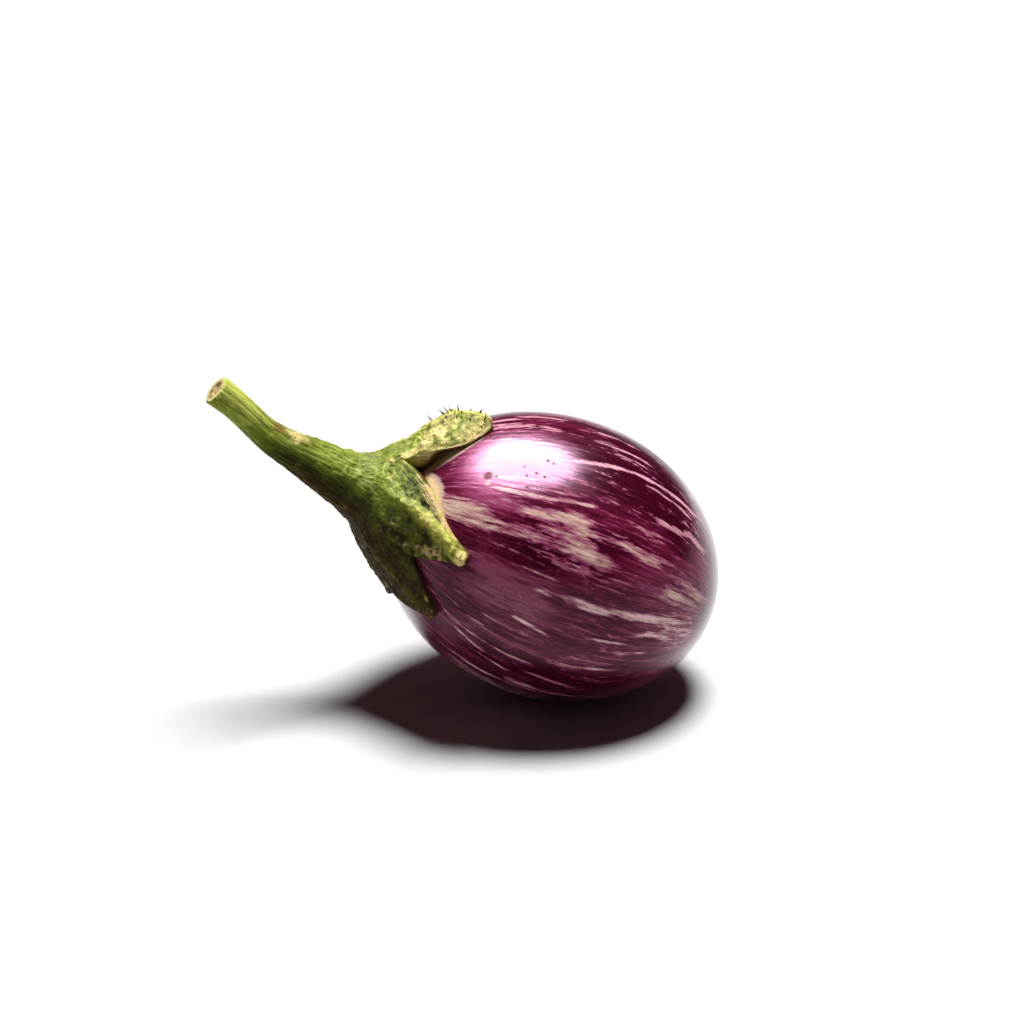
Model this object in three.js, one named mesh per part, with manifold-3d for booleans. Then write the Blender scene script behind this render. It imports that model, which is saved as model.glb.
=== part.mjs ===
// A striped eggplant, picked with its green calyx and a length of stem, lying on its side.
// Millimetres, +Z up. The blossom end points to +X and dips, the stem rises to -X.
import * as THREE from 'three';
import { mergeVertices } from 'three/addons/utils/BufferGeometryUtils.js';
import Module from 'manifold-3d';

const wasm = await Module();
wasm.setup();

const DEG = Math.PI / 180;

// Fruit: a fat egg whose stem end is the fuller one.
const FRUIT_LENGTH = 88;            // stem pole to blossom pole
const FRUIT_DIAMETER = 73.6;
const END_FULLNESS = 0.035;         // swells both ends beyond a plain ellipse
const EGG_BIAS = 0.075;             // adds to the stem end, takes from the blossom end
const AXIS_DIP = 22.5 * DEG;        // blossom end below the horizontal
const FLAT_DEPTH = 1.9;             // height of the belly pressed flat where it rests
const FRUIT_SIDES = 60;
const FRUIT_RINGS = 32;

// Blossom scar: a small corky button in a shallow dimple.
const DIMPLE_DEPTH = 0.5;
const DIMPLE_RADIUS = 4.2;
const BUTTON_HEIGHT = 0.75;
const BUTTON_RADIUS = 1.5;

// Calyx: a fleshy cap whose five lobes lie over the shoulder of the fruit.
// Angles run round the fruit axis: 0 underneath, 90 the -Y side, 180 on top, 270 the +Y side.
// Reaches are colatitudes from the stem pole.
const NOTCHES = [
  { angle: -52, reach: 27 },
  { angle: 30, reach: 30 },
  { angle: 79, reach: 31 },
  { angle: 158, reach: 17.5 },
  { angle: 215, reach: 24 },
];
// Each lobe fills the space from one notch to the next. A taper of 1 gives a round side,
// 2 a straight one running to a point; swell bows a side out, in degrees, or in if negative.
// Of each pair the side nearer the lower angle comes first. The bulb widens the tip by its
// degrees and the knob thickens it. The keel is a fold standing up along the lobe. Lift is how
// high the lobe arches off the skin, a larger peak moves that arch towards the tip, curl turns
// the tip up, and hug presses a side's edge down again.
const LOBES = [
  { tip: -24, reach: 42, taper: [1.8, 1.9], swell: [0, 0], keel: 0.5, bulb: 1, knob: 0,
    lift: 0.2, peak: 0.8, curl: 1.1, hug: [1, 1] },
  { tip: 63, reach: 51.5, taper: [2.2, 2], swell: [0, 0], keel: 0.7, bulb: 1, knob: 0,
    lift: 0.3, peak: 0.8, curl: 0.8, hug: [1, 1] },
  { tip: 98, reach: 53.2, taper: [2.3, 2.45], swell: [0, -3], keel: 1.9, bulb: 2.8, knob: 1,
    lift: 0.6, peak: 0.8, curl: 1.1, hug: [1, 1] },
  { tip: 175, reach: 48.5, taper: [1.3, 1.5], swell: [3, 0], keel: 0.9, bulb: 0, knob: 0,
    lift: 3.6, peak: 1.15, curl: 1.4, hug: [1, 0] },
  { tip: 266, reach: 48, taper: [2, 1.7], swell: [0, 0], keel: 0.9, bulb: 1, knob: 0,
    lift: 1, peak: 0.8, curl: 1.1, hug: [1, 1] },
];
const LOBE_COLUMNS = 18;
const OUTER_ROWS = 14;
const INNER_ROWS = 8;
const SEAT_GAP = 0.3;               // between the calyx and the skin under it
const RIM_THICKNESS = 1;
const MIDRIB_THICKNESS = 0.7;       // added along the middle of each lobe
const CAP_RISE = 11.2;              // fleshy rise of the cap towards the stem
const CAP_DROP = 1.6;               // taken off that rise on the underside
const CAP_DROP_AT = 20;             // angle where most is taken off
const CAP_SPREAD = 26;              // colatitude over which the rise dies away
const NECK_SPAN = 4.6;              // colatitude over which the neck dies away
const LIFT_START = 20;              // colatitude where a lobe leaves the skin
const KEEL_WIDTH = 1.4;
const KNOB_WIDTH = 1.9;
const BULB_LENGTH = 1.8;            // degrees from the tip to the widest of its bulb
const ROOT_HALF_WIDTH = 12;         // of a lobe at the neck end of its keel
const TIP_HALF_WIDTH = 9;

// Stem: a tapering stalk that bends up and towards -Y, cut square.
const NECK_ANGLE = 7.2;             // colatitude and height that put the calyx's
const NECK_HEIGHT = 15.5;           // top face 15 mm beyond the stem pole
const NECK_RADIUS = 7.2;
const STEM_END = 54.2;              // distance beyond the stem pole, along the fruit axis
const STEM_RADIUS = 3.65;
const STEM_FLARE = 4.6;             // extra radius at the root of the stem
const FLARE_START = 10;
const FLARE_END = 42;
const BEND = 0.0053;                // sideways drift per square millimetre
const BEND_TURN = 23.6 * DEG;       // the bend leans from straight up towards -Y
const SWAY = 0.7;                   // of the wave that kinks the upper half of the stem
const SWAY_LENGTH = 24;
const SWAY_MIDDLE = 42;
const SWAY_FADE = [20, 36];
const CUT_FLARE = 0.25;             // extra radius at the cut
const STEM_SIDES = 20;
const STEM_STEPS = 22;
const RIB_HEIGHT = 0.55;
const RIB_WIDTH = 15;               // degrees round the stem
const RIB_END = 36;

// Prickles near the tip of the lifted lobe.
const PRICKLES = 11;
const PRICKLE_LENGTH = 2.1;
const PRICKLE_RADIUS = 0.5;
const PRICKLE_SIDES = 5;
const PRICKLE_SINK = 0.75;
const PRICKLE_LOBE = 3;
const PRICKLE_FROM = 5;             // first column of the lobe that carries them
const PRICKLE_SPAN = 9;
const PRICKLE_WAY = [0.66, 0.97];   // from the neck at 0 to the edge at 1

const HALF_LENGTH = FRUIT_LENGTH / 2;
const HALF_DIAMETER = FRUIT_DIAMETER / 2;

// ---- The fruit's outline -------------------------------------------------------------

// Radius and distance beyond the stem pole of the outline at a colatitude in radians.
// On the axis "beyond" is positive up the stem and negative inside the fruit.
function outline(colatitude) {
  const u = -Math.cos(colatitude);
  const swell = 1 + END_FULLNESS * u * u - EGG_BIAS * u * u * u;
  return {
    radius: HALF_DIAMETER * Math.sin(colatitude) * swell,
    beyond: -HALF_LENGTH * (1 + u),
  };
}

// The point at a height over the skin, measured square to it.
function overSkin(colatitude, height) {
  const step = 1e-4;
  const here = outline(colatitude);
  const ahead = outline(colatitude + step);
  const behind = outline(colatitude - step);
  const runRadius = ahead.radius - behind.radius;
  const runBeyond = ahead.beyond - behind.beyond;
  const run = Math.hypot(runRadius, runBeyond);
  return {
    radius: here.radius - height * runBeyond / run,
    beyond: here.beyond + height * runRadius / run,
    outRadius: -runBeyond / run,
    outBeyond: runRadius / run,
  };
}

// ---- Placing points ------------------------------------------------------------------

// Everything is shaped on a straight axis, local +Y up the stem with its zero at the stem
// pole and local +Z towards the underside, then bent above the pole.
function bent(radius, beyond, angle) {
  const side = radius * Math.sin(angle);
  const down = radius * Math.cos(angle);
  if (beyond <= 0) return new THREE.Vector3(side, beyond, down);
  const lean = new THREE.Vector3(Math.sin(BEND_TURN), 0, -Math.cos(BEND_TURN));
  const phase = 2 * Math.PI * (beyond - SWAY_MIDDLE) / SWAY_LENGTH;
  const sway = SWAY * smooth(SWAY_FADE[0], SWAY_FADE[1], beyond);
  const slope = 2 * BEND * beyond + sway * Math.cos(phase) * 2 * Math.PI / SWAY_LENGTH;
  const along = new THREE.Vector3(0, 1, 0).addScaledVector(lean, slope).normalize();
  const across = lean.clone().addScaledVector(new THREE.Vector3(0, 1, 0), -slope).normalize();
  const third = new THREE.Vector3().crossVectors(along, across);
  const straightThird = new THREE.Vector3(0, 1, 0).cross(lean);
  const flat = new THREE.Vector3(side, 0, down);
  return new THREE.Vector3(0, beyond, 0)
    .addScaledVector(lean, BEND * beyond * beyond + sway * Math.sin(phase))
    .addScaledVector(across, flat.dot(lean))
    .addScaledVector(third, flat.dot(straightThird));
}

// Local +Y, up the stem, becomes -X and rises by the dip. Local +Z becomes the underside.
const toWorld = new THREE.Matrix4().makeBasis(
  new THREE.Vector3(0, -1, 0),
  new THREE.Vector3(-Math.cos(AXIS_DIP), 0, Math.sin(AXIS_DIP)),
  new THREE.Vector3(-Math.sin(AXIS_DIP), 0, -Math.cos(AXIS_DIP)),
);

function smooth(edge0, edge1, x) {
  return THREE.MathUtils.smoothstep(x, edge0, edge1);
}

// ---- Solids --------------------------------------------------------------------------

// Welds a geometry's shared vertices and drops the triangles that close up at a pole.
function welded(geometry) {
  const bare = geometry.clone();
  bare.deleteAttribute('normal');
  bare.deleteAttribute('uv');
  const merged = mergeVertices(bare, 1e-4);
  const kept = [];
  const index = merged.index.array;
  for (let i = 0; i < index.length; i += 3) {
    const [a, b, c] = [index[i], index[i + 1], index[i + 2]];
    if (a !== b && b !== c && c !== a) kept.push(a, b, c);
  }
  merged.setIndex(kept);
  return merged;
}

function solidOf(geometry) {
  const merged = welded(geometry);
  return new wasm.Manifold(new wasm.Mesh({
    numProp: 3,
    vertProperties: new Float32Array(merged.attributes.position.array),
    triVerts: new Uint32Array(merged.index.array),
  }));
}

function geometryOf(solid) {
  const mesh = solid.getMesh();
  const geometry = new THREE.BufferGeometry();
  geometry.setAttribute('position', new THREE.BufferAttribute(mesh.vertProperties, 3));
  geometry.setIndex(new THREE.BufferAttribute(mesh.triVerts, 1));
  geometry.computeVertexNormals();
  return geometry;
}

// ---- Fruit ---------------------------------------------------------------------------

function fruitOutline() {
  const points = [];
  for (let ring = 0; ring <= FRUIT_RINGS; ring += 1) {
    const fromBlossom = Math.PI * (ring / FRUIT_RINGS) ** 1.12;
    const { radius, beyond } = outline(Math.PI - fromBlossom);
    const dimple = DIMPLE_DEPTH * Math.exp(-((radius / DIMPLE_RADIUS) ** 2));
    const button = BUTTON_HEIGHT * Math.exp(-((radius / BUTTON_RADIUS) ** 4));
    const inward = beyond < -HALF_LENGTH ? dimple - button : 0;
    points.push(new THREE.Vector2(Math.max(radius, 0), beyond + inward));
  }
  points[0].x = 0;
  points[FRUIT_RINGS].x = 0;
  return points;
}

// The belly is cut level where the fruit rests, and that cut lies in the plane Z = 0.
function makeFruit() {
  const whole = new THREE.LatheGeometry(fruitOutline(), FRUIT_SIDES).applyMatrix4(toWorld);
  whole.computeBoundingBox();
  const box = whole.boundingBox;
  const under = new THREE.BoxGeometry(2 * FRUIT_LENGTH, 2 * FRUIT_LENGTH, FRUIT_LENGTH);
  under.translate(0, 0, box.min.z + FLAT_DEPTH - FRUIT_LENGTH / 2);
  return geometryOf(solidOf(whole).subtract(solidOf(under)));
}

// ---- Calyx ---------------------------------------------------------------------------

// Column 0 of each lobe is the notch before it.
function lobeColumn(column) {
  const number = Math.floor(column / LOBE_COLUMNS) % LOBES.length;
  const lobe = LOBES[number];
  const before = NOTCHES[number];
  const after = NOTCHES[(number + 1) % NOTCHES.length];
  const afterAngle = after.angle < before.angle ? after.angle + 360 : after.angle;
  const across = -1 + 2 * (column % LOBE_COLUMNS) / LOBE_COLUMNS;
  const notch = across < 0 ? before.reach : after.reach;
  const notchAngle = across < 0 ? before.angle : afterAngle;
  const taper = lobe.taper[across < 0 ? 0 : 1];
  const climb = Math.PI / 2 * (1 - Math.abs(across));
  const edge = notch + (lobe.reach - notch) * Math.sin(climb) ** taper;
  const fromTip = (lobe.reach - edge) / BULB_LENGTH;
  const bulb = lobe.bulb * Math.sqrt(fromTip) * Math.exp(0.5 - 0.5 * fromTip);
  const swell = lobe.swell[across < 0 ? 0 : 1] * Math.sin(Math.PI * (edge - notch) / (lobe.reach - notch));
  return {
    lobe,
    across,
    notch,
    taper,
    edge,
    rootAngle: THREE.MathUtils.lerp(before.angle, afterAngle, (across + 1) / 2),
    edgeAngle: lobe.tip + (notchAngle - lobe.tip) * Math.cos(climb) ** taper
      + Math.sign(across) * (bulb + swell),
  };
}

// Ridges that run from the lobes up onto the stem, one above the middle of each lobe.
function ribs(angleInDegrees) {
  let height = 0;
  for (let number = 0; number < LOBES.length; number += 1) {
    const middle = lobeColumn(number * LOBE_COLUMNS + LOBE_COLUMNS / 2).rootAngle;
    const off = THREE.MathUtils.euclideanModulo(angleInDegrees - middle + 180, 360) - 180;
    height += Math.exp(-((off / RIB_WIDTH) ** 2));
  }
  return RIB_HEIGHT * height;
}

// How far a lobe stands off the skin at a colatitude in degrees.
function liftOf(column, colatitude) {
  const { lobe, across, notch, taper, edge } = column;
  const way = THREE.MathUtils.clamp((colatitude - LIFT_START) / (lobe.reach - LIFT_START), 0, 1);
  const rise = THREE.MathUtils.clamp((colatitude - notch) / (lobe.reach - notch), 0, 1);
  const halfWidth = 1 - Math.asin(rise ** (1 / taper)) / (Math.PI / 2);
  const outward = Math.min(1, Math.abs(across) / Math.max(halfWidth, 0.03));
  const hug = lobe.hug[across < 0 ? 0 : 1] * outward ** 2 * smooth(0.25, 0.7, way);
  const arch = lobe.lift * Math.sin(Math.PI * way ** lobe.peak) ** 1.2 * (1 - across ** 4);
  const curl = lobe.curl * smooth(0.7, 1, way) * smooth(lobe.reach - 12, lobe.reach, edge);
  return (arch + curl) * (1 - hug);
}

// The cap is flatter on the underside of the fruit.
function capRise(angleInDegrees) {
  const under = 0.5 + 0.5 * Math.cos((angleInDegrees - CAP_DROP_AT) * DEG);
  return CAP_RISE - CAP_DROP * under;
}

// A point on the upper face; way runs from 0 at the neck to 1 at the edge of the lobe.
function upperFace(column, way) {
  const colatitude = NECK_ANGLE + (column.edge - NECK_ANGLE) * way ** 1.2;
  const angle = column.rootAngle + (column.edgeAngle - column.rootAngle) * way ** 1.5;
  const spread = Math.max(0, 1 - (colatitude - NECK_ANGLE) / CAP_SPREAD);
  const neck = Math.max(0, 1 - (colatitude - NECK_ANGLE) / NECK_SPAN) ** 2;
  const neckExtra = NECK_HEIGHT - SEAT_GAP - RIM_THICKNESS - capRise(angle);
  const thickness = RIM_THICKNESS + MIDRIB_THICKNESS * (1 - column.across ** 2) * smooth(0, 0.3, way);
  const height = SEAT_GAP + liftOf(column, colatitude) + thickness
    + capRise(angle) * spread ** 1.3 + neckExtra * neck;
  const place = overSkin(colatitude * DEG, height);
  const halfWidth = THREE.MathUtils.lerp(ROOT_HALF_WIDTH, TIP_HALF_WIDTH, way);
  const offKeel = halfWidth * column.across;
  const keel = column.lobe.keel * smooth(0.15, 0.5, way) * Math.exp(-((offKeel / KEEL_WIDTH) ** 2));
  const knob = column.lobe.knob * Math.exp(-(((way - 0.93) / 0.06) ** 2) - (offKeel / KNOB_WIDTH) ** 2);
  const rib = ribs(angle) * (1 - smooth(0.1, 0.6, way));
  const square = smooth(9, 22, colatitude);
  const outRadius = THREE.MathUtils.lerp(1, place.outRadius, square);
  const outBeyond = THREE.MathUtils.lerp(0, place.outBeyond, square);
  return {
    radius: place.radius + (keel + knob + rib) * outRadius,
    beyond: place.beyond + (keel + knob + rib) * outBeyond,
    angle,
  };
}

// A point on the face that lies on the fruit; way runs from 1 at the edge to 0 on the axis.
function lowerFace(column, way) {
  const colatitude = column.edge * way;
  const place = overSkin(Math.max(colatitude, 0.01) * DEG, SEAT_GAP + liftOf(column, colatitude));
  const angle = column.rootAngle + (column.edgeAngle - column.rootAngle) * way ** 1.5;
  return { radius: way === 0 ? 0 : place.radius, beyond: place.beyond, angle };
}

// The rounded edge between the two faces.
function rim(column) {
  const upper = upperFace(column, 1);
  const lower = lowerFace(column, 1);
  const farther = overSkin((column.edge + 0.8) * DEG, 0);
  const nearer = overSkin(column.edge * DEG, 0);
  return {
    radius: (upper.radius + lower.radius) / 2 + farther.radius - nearer.radius,
    beyond: (upper.beyond + lower.beyond) / 2 + farther.beyond - nearer.beyond,
    angle: upper.angle,
  };
}

function calyxPoint(columnNumber, row) {
  const column = lobeColumn(columnNumber);
  if (row === 0) return { ...upperFace(column, 0), radius: 0 };
  if (row <= OUTER_ROWS) return upperFace(column, (row - 1) / (OUTER_ROWS - 1));
  if (row === OUTER_ROWS + 1) return rim(column);
  return lowerFace(column, 1 - (row - OUTER_ROWS - 2) / (INNER_ROWS - 1));
}

function calyxBody() {
  const rows = OUTER_ROWS + INNER_ROWS + 2;
  const columns = LOBES.length * LOBE_COLUMNS;
  const profile = [];
  for (let row = 0; row < rows; row += 1) {
    const { radius, beyond } = calyxPoint(0, row);
    profile.push(new THREE.Vector2(radius, beyond));
  }
  const geometry = new THREE.LatheGeometry(profile.reverse(), columns);
  const position = geometry.attributes.position;
  for (let i = 0; i < position.count; i += 1) {
    const columnNumber = Math.floor(i / rows) % columns;
    const { radius, beyond, angle } = calyxPoint(columnNumber, rows - 1 - (i % rows));
    const point = bent(radius, beyond, angle * DEG);
    position.setXYZ(i, point.x, point.y, point.z);
  }
  return geometry;
}

// A cone whose foot is sunk into the lobe and whose point stands square to its face.
function pricklePoint(columnNumber, way) {
  const { radius, beyond, angle } = upperFace(lobeColumn(columnNumber), way);
  return bent(radius, beyond, angle * DEG);
}

function makePrickle(columnNumber, way) {
  const foot = pricklePoint(columnNumber, way);
  const alongLobe = pricklePoint(columnNumber, way - 0.02).sub(foot);
  const acrossLobe = pricklePoint(columnNumber + 1, way).sub(foot);
  const out = new THREE.Vector3().crossVectors(alongLobe, acrossLobe).normalize();
  if (out.dot(foot.clone().setY(0)) < 0) out.negate();
  const cone = new THREE.ConeGeometry(PRICKLE_RADIUS, PRICKLE_LENGTH, PRICKLE_SIDES);
  cone.translate(0, PRICKLE_LENGTH / 2 - PRICKLE_SINK, 0);
  cone.applyQuaternion(new THREE.Quaternion().setFromUnitVectors(new THREE.Vector3(0, 1, 0), out));
  return cone.translate(foot.x, foot.y, foot.z);
}

function seededRandom(seed) {
  let state = seed;
  return () => {
    state = (state * 16807) % 2147483647;
    return state / 2147483647;
  };
}

function makeCalyx() {
  let solid = solidOf(calyxBody());
  const random = seededRandom(11);
  const firstColumn = PRICKLE_LOBE * LOBE_COLUMNS;
  for (let number = 0; number < PRICKLES; number += 1) {
    const columnNumber = firstColumn + PRICKLE_FROM + Math.floor(random() * PRICKLE_SPAN);
    const way = THREE.MathUtils.lerp(PRICKLE_WAY[0], PRICKLE_WAY[1], random());
    solid = solid.add(solidOf(makePrickle(columnNumber, way)));
  }
  return geometryOf(solid).applyMatrix4(toWorld);
}

// ---- Stem ----------------------------------------------------------------------------

function stemRadius(beyond) {
  const flare = Math.max(0, (FLARE_END - beyond) / (FLARE_END - FLARE_START)) ** 1.5;
  return STEM_RADIUS + STEM_FLARE * flare + CUT_FLARE * smooth(STEM_END - 8, STEM_END, beyond);
}

function makeStem() {
  const start = overSkin(NECK_ANGLE * DEG, NECK_HEIGHT).beyond + SEAT_GAP;
  const geometry = new THREE.CylinderGeometry(1, 1, 1, STEM_SIDES, STEM_STEPS);
  const position = geometry.attributes.position;
  const rootScale = NECK_RADIUS / stemRadius(start);
  for (let i = 0; i < position.count; i += 1) {
    const beyond = THREE.MathUtils.lerp(start, STEM_END, position.getY(i) + 0.5);
    const angle = Math.atan2(position.getX(i), position.getZ(i));
    const scale = THREE.MathUtils.lerp(rootScale, 1, smooth(start, RIB_END, beyond));
    const rib = ribs(angle / DEG) * (1 - smooth(start, RIB_END, beyond));
    const share = Math.hypot(position.getX(i), position.getZ(i));
    const point = bent(share * (stemRadius(beyond) * scale + rib), beyond, angle);
    position.setXYZ(i, point.x, point.y, point.z);
  }
  return geometry.applyMatrix4(toWorld);
}

// ---- Assembly ------------------------------------------------------------------------

function named(name, geometry, color, roughness) {
  const material = new THREE.MeshStandardMaterial({ color, roughness, metalness: 0 });
  const mesh = new THREE.Mesh(geometry, material);
  mesh.name = name;
  return mesh;
}

const eggplant = new THREE.Group();
eggplant.add(named('fruit', makeFruit(), 0x4a1032, 0.25));
eggplant.add(named('calyx', makeCalyx(), 0x7c9a35, 0.75));
eggplant.add(named('stem', makeStem(), 0x93b045, 0.7));

// The origin is under the middle of the whole, in the plane it rests on.
const extent = new THREE.Box3().setFromObject(eggplant);
const middle = extent.getCenter(new THREE.Vector3());
eggplant.position.set(-middle.x, -middle.y, -extent.min.z);

export default eggplant;
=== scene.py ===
"""A striped eggplant with its green calyx and cut stem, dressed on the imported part."""
import random
from bisect import bisect_left
from math import acos, asin, atan2, cos, degrees, exp, hypot, pi, radians, sin, sqrt
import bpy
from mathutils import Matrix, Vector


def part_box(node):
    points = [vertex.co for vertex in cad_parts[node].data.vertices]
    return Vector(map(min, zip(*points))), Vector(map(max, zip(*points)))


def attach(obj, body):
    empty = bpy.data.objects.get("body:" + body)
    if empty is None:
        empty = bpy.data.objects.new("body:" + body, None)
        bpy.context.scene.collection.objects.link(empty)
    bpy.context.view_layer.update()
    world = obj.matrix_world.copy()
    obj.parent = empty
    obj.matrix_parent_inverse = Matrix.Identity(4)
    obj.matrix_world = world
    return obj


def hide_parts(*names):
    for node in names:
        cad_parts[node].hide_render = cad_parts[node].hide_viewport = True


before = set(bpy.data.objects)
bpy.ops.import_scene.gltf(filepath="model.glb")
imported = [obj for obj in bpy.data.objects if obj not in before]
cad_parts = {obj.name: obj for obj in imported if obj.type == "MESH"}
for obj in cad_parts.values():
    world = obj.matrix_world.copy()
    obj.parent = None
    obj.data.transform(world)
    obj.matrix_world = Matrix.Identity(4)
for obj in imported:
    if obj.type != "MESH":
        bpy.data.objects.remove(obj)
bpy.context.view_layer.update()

from types import SimpleNamespace as Record

import bmesh
import bpy
from mathutils import Quaternion, Vector, kdtree, noise

MM = 0.001
scene = bpy.context.scene

# ---- The part's own dimensions, in millimetres and degrees ----

FRUIT_LENGTH = 88
FRUIT_DIAMETER = 73.6
END_FULLNESS = 0.035
EGG_BIAS = 0.075
AXIS_DIP = 22.5

# Angles run round the fruit axis: 0 underneath, 90 the -Y side, 180 on top, 270 the +Y side.
# Reaches are colatitudes from the stem pole.
NOTCHES = [(-52, 27), (30, 30), (79, 31), (158, 17.5), (215, 24)]  # angle and reach of each
# Each lobe fills the space from one notch to the next. A taper of 1 gives a round side, 2 a
# straight one; swell bows a side out in degrees; hug presses a side's edge down on the skin; a
# larger peak moves the arch towards the tip. The side nearer the lower angle comes first. Warts
# and pale_edge are looks: how warty the lobe is, and how pale its thin edge is.
PLAIN_LOBE = dict(swell=(0, 0), hug=(1, 1), peak=0.8, curl=1.1, bulb=1, knob=0, warts=0.55,
                  pale_edge=0.3)
LOBES = [Record(**(PLAIN_LOBE | own)) for own in (
    dict(tip=-24, reach=42, taper=(1.8, 1.9), lift=0.2, keel=0.5),
    dict(tip=63, reach=51.5, taper=(2.2, 2), lift=0.3, curl=0.8, keel=0.7),
    dict(tip=98, reach=53.2, taper=(2.3, 2.45), swell=(0, -3), lift=0.6, keel=1.9, bulb=2.8,
         knob=1, warts=1.15),
    dict(tip=175, reach=48.5, taper=(1.3, 1.5), swell=(3, 0), lift=3.6, hug=(1, 0), peak=1.15,
         curl=1.4, keel=0.9, bulb=0, warts=1, pale_edge=1),
    dict(tip=266, reach=48, taper=(2, 1.7), lift=1, keel=0.9, pale_edge=0.8),
)]
FRONT_LOBE = 2
LIFTED_LOBE = 3  # the one that carries the prickles
SEAT_GAP = 0.3
SEAT_LINE = 0.08  # the underside comes this near the skin
SEAT_PRESS = 0.2  # and the near side of the lifted lobe is pressed down by this much
THIN_FROM = 0.85  # where along the lifted lobe its thin, pressed edge starts
RIM_THICKNESS = 1
MIDRIB_THICKNESS = 0.7
CAP_RISE = 11.2
CAP_DROP = 1.6
CAP_DROP_AT = 20
CAP_SPREAD = 26
CAP_FALL = 1.3  # the power by which the cap falls away from the neck
NECK_SPAN = 4.6
LIFT_START = 20
ARCH_ROUNDNESS = 1.2
CURL_FROM = 0.7
CURL_SPAN = 12  # only the last degrees of a lobe's reach curl up
HUG_RANGE = (0.25, 0.7)
ROW_SPACING = 1.2  # powers that spread the rows, and turn them, from neck to edge
ROW_TURN = 1.5
KEEL_WIDTH = 1.4
KEEL_RANGE = (0.15, 0.5)
KNOB_WIDTH = 1.9
KNOB_AT = 0.93
KNOB_LENGTH = 0.06
RIB_FADE = (0.1, 0.6)
SQUARE_RANGE = (9, 22)  # colatitudes over which relief turns from sideways to upright
EDGE_CALM = 0.6  # share of the relief that fades out by the edge
RIM_BULGE = 0.8  # degrees by which the rounded rim stands past the edge
BULB_LENGTH = 1.8
THIN_EDGE = 0.5  # how much the lifted lobe thins towards its edge
ROOT_HALF_WIDTH = 12
TIP_HALF_WIDTH = 9

NECK_ANGLE = 7.2
NECK_HEIGHT = 15.5
NECK_RADIUS = 7.2
STEM_END = 54.2
STEM_RADIUS = 3.65
STEM_FLARE = 4.6
FLARE_START = 10
FLARE_END = 42
BEND = 0.0053
BEND_TURN = 23.6
SWAY = 0.7
SWAY_LENGTH = 24
SWAY_MIDDLE = 42
SWAY_FADE = (20, 36)
CUT_FLARE = 0.25
CUT_FLARE_LENGTH = 8
FLARE_FALL = 1.5
RIB_HEIGHT = 0.55
RIB_WIDTH = 15
RIB_END = 36

# ---- Looks ----

FRUIT_COLUMNS = 600
FRUIT_RINGS = 160
BELLY_BLEND = 0.8  # softens the edge of the flat the fruit rests on
DIMPLE_DEPTH = 0.5
DIMPLE_RADIUS = 4.2
BUTTON_HEIGHT = 0.75
BUTTON_RADIUS = 1.5

LOBE_COLUMNS = 80
OUTER_ROWS = 170
RIM_ROWS = 12
INNER_ROWS = 28
STEM_COLUMNS = 160
STEM_ROWS = 260
CUT_ROWS = 26
POLE_ROWS = 3  # rows that close a sheet off at its inner end

STRIPE_STRETCH = 520  # larger values draw the skin's fibres out along the fruit
GRAIN_STRETCH = 60  # and the fibres of the green flesh along calyx and stem
HALF_LENGTH = FRUIT_LENGTH / 2


def lerp(a, b, t):
    return a + (b - a) * t


def clamp(x, low=0, high=1):
    return max(low, min(high, x))


def smooth(start, end, x):
    t = clamp((x - start) / (end - start))
    return t * t * (3 - 2 * t)


def off_from(angle, middle):
    """Degrees from the middle, from -180 to 180."""
    return (angle - middle + 180) % 360 - 180


# ---- The part's shape ----

def outline(colatitude):
    """Radius of the fruit, and distance beyond its stem pole, at a colatitude in radians."""
    u = -cos(colatitude)
    swell = 1 + END_FULLNESS * u * u - EGG_BIAS * u * u * u
    return FRUIT_DIAMETER / 2 * sin(colatitude) * swell, -HALF_LENGTH * (1 + u)


def over_skin(colatitude, height):
    """The point at a height over the skin, and the direction square to the skin there."""
    step = 1e-4
    radius, beyond = outline(colatitude)
    radius_ahead, beyond_ahead = outline(colatitude + step)
    radius_behind, beyond_behind = outline(colatitude - step)
    run_radius = radius_ahead - radius_behind
    run_beyond = beyond_ahead - beyond_behind
    run = hypot(run_radius, run_beyond)
    out_radius = -run_beyond / run
    out_beyond = run_radius / run
    return radius + height * out_radius, beyond + height * out_beyond, out_radius, out_beyond


UP_LOCAL = Vector((0, 1, 0))
LEAN = Vector((sin(radians(BEND_TURN)), 0, -cos(radians(BEND_TURN))))
STRAIGHT_THIRD = UP_LOCAL.cross(LEAN)


def straight(radius, beyond, turn):
    """A point given round the straight axis of the fruit, with the turn in radians."""
    return Vector((radius * sin(turn), beyond, radius * cos(turn)))


def bent(radius, beyond, turn):
    """The same point, moved by the bend of the stem."""
    if beyond <= 0:
        return straight(radius, beyond, turn)
    flat = straight(radius, 0, turn)
    phase = 2 * pi * (beyond - SWAY_MIDDLE) / SWAY_LENGTH
    sway = SWAY * smooth(*SWAY_FADE, beyond)
    slope = 2 * BEND * beyond + sway * cos(phase) * 2 * pi / SWAY_LENGTH
    along = (UP_LOCAL + LEAN * slope).normalized()
    across = (LEAN - UP_LOCAL * slope).normalized()
    third = along.cross(across)
    start = Vector((0, beyond, 0)) + LEAN * (BEND * beyond * beyond + sway * sin(phase))
    return start + across * flat.dot(LEAN) + third * flat.dot(STRAIGHT_THIRD)


DIP = radians(AXIS_DIP)
SIDE = Vector((0, -1, 0))
UP_STEM = Vector((-cos(DIP), 0, sin(DIP)))
UNDER = Vector((-sin(DIP), 0, -cos(DIP)))


def reach_of_fruit(share):
    """How far the fruit reaches from its stem pole, by a direction's share of its axis."""
    furthest = 0
    for tenth in range(1801):
        radius, beyond = outline(radians(tenth / 10))
        furthest = max(furthest, beyond * share + radius * sqrt(1 - share * share))
    return furthest


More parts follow.
